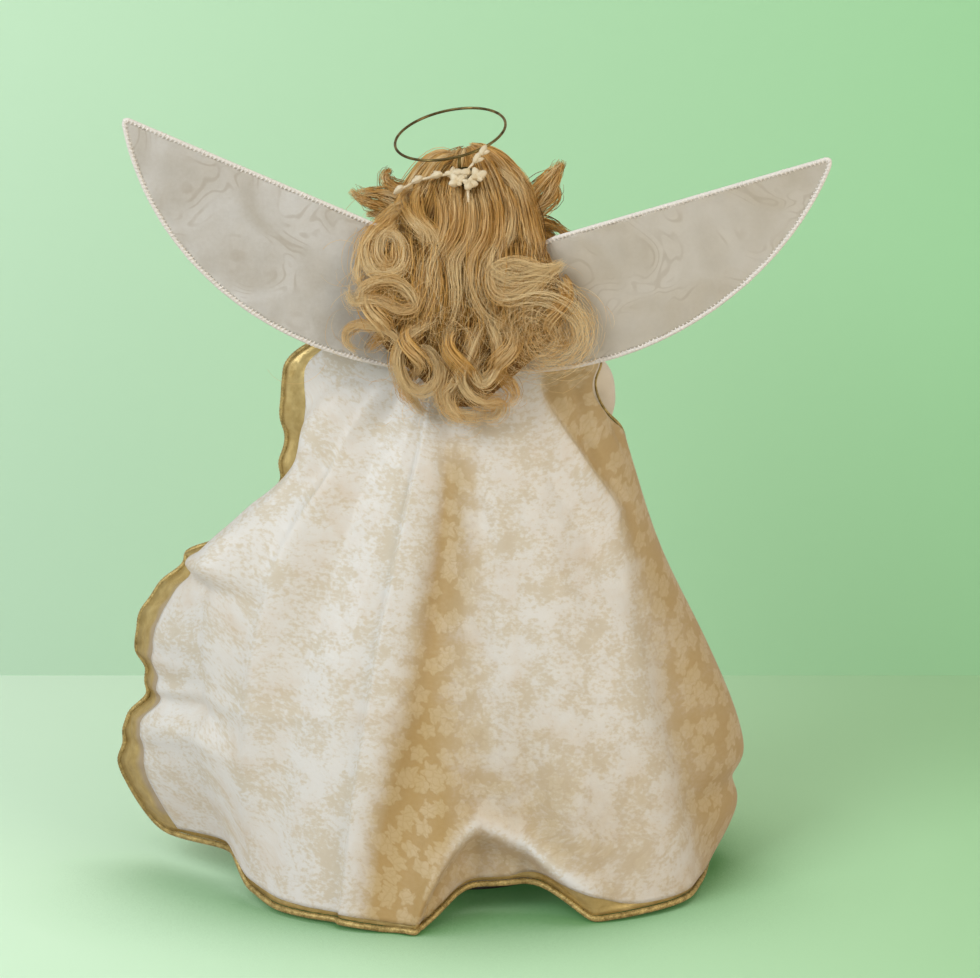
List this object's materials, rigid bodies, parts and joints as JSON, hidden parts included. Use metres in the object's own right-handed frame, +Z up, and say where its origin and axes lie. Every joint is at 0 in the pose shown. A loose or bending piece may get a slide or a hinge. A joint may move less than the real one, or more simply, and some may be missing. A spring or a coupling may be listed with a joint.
{
  "type": "angel figurine",
  "caption": "Standing cloth angel with a brocade cape lined in gold, sheer wired wings, a blonde wig with a flower spray, and a wire halo, on a weighted round base.",
  "frame": {"origin": "middle of the felt pad's underside, on the surface the figure stands on", "axes": "+Z up along the figure, -Y the way the face looks, +X the figure's left"},
  "size_m": [0.3665, 0.2074, 0.4027],
  "materials": {
    "felt": "matte felt",
    "base": "satin white",
    "cardboard": "raw board",
    "muslin": "plain weave",
    "steel_wire": "bright wire",
    "skin": "bisque, satin",
    "brocade": "satin damask",
    "gold_lame": "metallic lame",
    "dress_satin": "satin",
    "organza": "sheer organza",
    "serged_edge": "overlocked thread",
    "hair": "combed synthetic fibre",
    "antique_brass": "antiqued wire",
    "flower_cream": "stiffened cloth"
  },
  "bodies": {
    "figure": {"felt_pad": "felt", "base_disc": "base", "body_cone": "cardboard", "torso": "muslin", "wig_cap": "muslin", "wing_bracket": "muslin", "arm_wire": "steel_wire", "shoulder_head": "skin", "cape": "brocade", "cape_lining": "gold_lame", "cape_edge": "gold_lame", "neck_band": "gold_lame", "bodice": "dress_satin", "skirt": "dress_satin", "hair_crown": "hair", "hair_fall": "hair", "side_tuft_left": "hair", "side_tuft_right": "hair", "face_lock_left": "hair", "face_lock_right": "hair", "ringlet_far_left": "hair", "ringlet_left": "hair", "ringlet_middle": "hair", "ringlet_right": "hair", "ringlet_far_right": "hair", "spray_clip": "antique_brass", "spray_stem": "flower_cream", "bud_1": "flower_cream", "bud_2": "flower_cream", "bud_3": "flower_cream", "bud_4": "flower_cream", "bud_5": "flower_cream", "blossom_1": "flower_cream", "blossom_2": "flower_cream", "blossom_3": "flower_cream", "blossom_4": "flower_cream"},
    "left_wing": {"left_wing_edge": "serged_edge", "left_wing_rear_panel": "organza", "left_wing_front_panel": "organza"},
    "right_wing": {"right_wing_edge": "serged_edge", "right_wing_rear_panel": "organza", "right_wing_front_panel": "organza"},
    "left_arm": {"left_sleeve": "dress_satin", "left_cuff": "gold_lame", "left_hand": "skin"},
    "right_arm": {"right_sleeve": "dress_satin", "right_cuff": "gold_lame", "right_hand": "skin"},
    "halo": {"halo": "antique_brass"}
  },
  "joints": [
    {"name": "left_wing_raise", "type": "hinge", "parent": "figure", "child": "left_wing", "pos_m": [0.013, 0.0334, 0.286], "axis": [0.1736, -0.9848, 0], "range_deg": [-14, 4]},
    {"name": "right_wing_raise", "type": "hinge", "parent": "figure", "child": "right_wing", "pos_m": [-0.013, 0.0334, 0.286], "axis": [0.1736, 0.9848, 0], "range_deg": [-8, 10]},
    {"name": "left_arm_lift", "type": "hinge", "parent": "figure", "child": "left_arm", "pos_m": [0.0443, 0, 0.261], "axis": [-1, 0, 0], "range_deg": [-12, 30]},
    {"name": "right_arm_lift", "type": "hinge", "parent": "figure", "child": "right_arm", "pos_m": [-0.0443, 0, 0.261], "axis": [-1, 0, 0], "range_deg": [-12, 30]},
    {"name": "halo_tilt", "type": "hinge", "parent": "figure", "child": "halo", "pos_m": [0.003, 0.02315, 0.37224], "axis": [-1, 0, 0], "range_deg": [-3, 35]}
  ]
}
